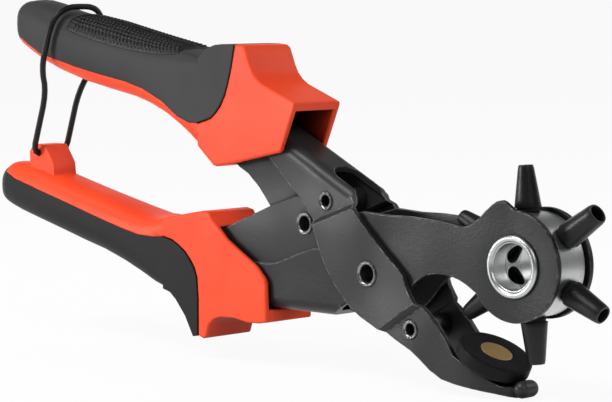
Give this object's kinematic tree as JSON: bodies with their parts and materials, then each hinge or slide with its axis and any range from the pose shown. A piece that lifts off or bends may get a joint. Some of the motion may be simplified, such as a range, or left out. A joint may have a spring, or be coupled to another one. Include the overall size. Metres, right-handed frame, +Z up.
{
  "type": "rotary hole punch",
  "caption": "Hand pliers with a turning head of punch tubes over a round anvil, crossed pressed-steel levers, soft-grip handles and a wire loop that locks them shut.",
  "frame": {"origin": "middle of the overall box at its lowest point, under the nose", "axes": "+X to the punching end, +Y across the tool along the rivets, +Z up with the lock loop on the rear of the handles"},
  "size_m": [0.2342, 0.023, 0.1029],
  "materials": {
    "red_plastic": "moulded, soft gloss",
    "grip_rubber": "soft matt",
    "pad_rubber": "ribbed matt",
    "black_steel": "satin black coat",
    "rivet_steel": "bright plated",
    "sleeve_steel": "turned",
    "zinc": "bright cast",
    "tube_steel": "blackened",
    "anvil_black": "satin black",
    "bronze": "turned",
    "spring_steel": "drawn wire",
    "wire_black": "black wire"
  },
  "bodies": {
    "frame": {"frame_channel": "black_steel", "upper_handle": "red_plastic", "upper_grip": "grip_rubber", "upper_rib_pad": "pad_rubber", "pivot_rivet": "rivet_steel", "rear_rivet": "rivet_steel", "rear_spacer": "sleeve_steel", "front_rivet": "rivet_steel", "front_spacer": "sleeve_steel", "anvil_seat": "black_steel", "anvil_pad": "anvil_black", "anvil_face": "bronze", "anvil_rivet": "sleeve_steel", "return_spring": "spring_steel"},
    "lever": {"lever_channel": "black_steel", "lower_handle": "red_plastic", "lower_grip": "grip_rubber", "lever_rivet": "rivet_steel", "lever_spacer": "sleeve_steel", "pivot_bush": "bronze", "hub_near": "zinc", "hub_far": "zinc"},
    "head": {"head_core": "zinc", "tube_1": "tube_steel", "tube_2": "tube_steel", "tube_3": "tube_steel", "tube_4": "tube_steel", "tube_5": "tube_steel", "tube_6": "tube_steel", "click_ball": "spring_steel", "click_spring": "spring_steel"},
    "lock": {"lock_wire": "wire_black"}
  },
  "joints": [
    {"name": "handle_pivot", "type": "hinge", "parent": "frame", "child": "lever", "pos_m": [0.04329, 0, 0.0295], "axis": [0, -1, 0], "range_deg": [0, 14], "deforming": ["lock_wire"]},
    {"name": "head_turn", "type": "hinge", "parent": "lever", "child": "head", "pos_m": [0.09259, 0, 0.0351], "axis": [0, 1, 0], "continuous": true},
    {"name": "lock_swing", "type": "hinge", "parent": "lever", "child": "lock", "pos_m": [-0.09931, 0, 0.0555], "axis": [0, -1, 0], "range_deg": [0, 112]}
  ],
  "couplings": [
    {"joint": "lock_swing", "follows": "handle_pivot", "ratio": 8}
  ]
}
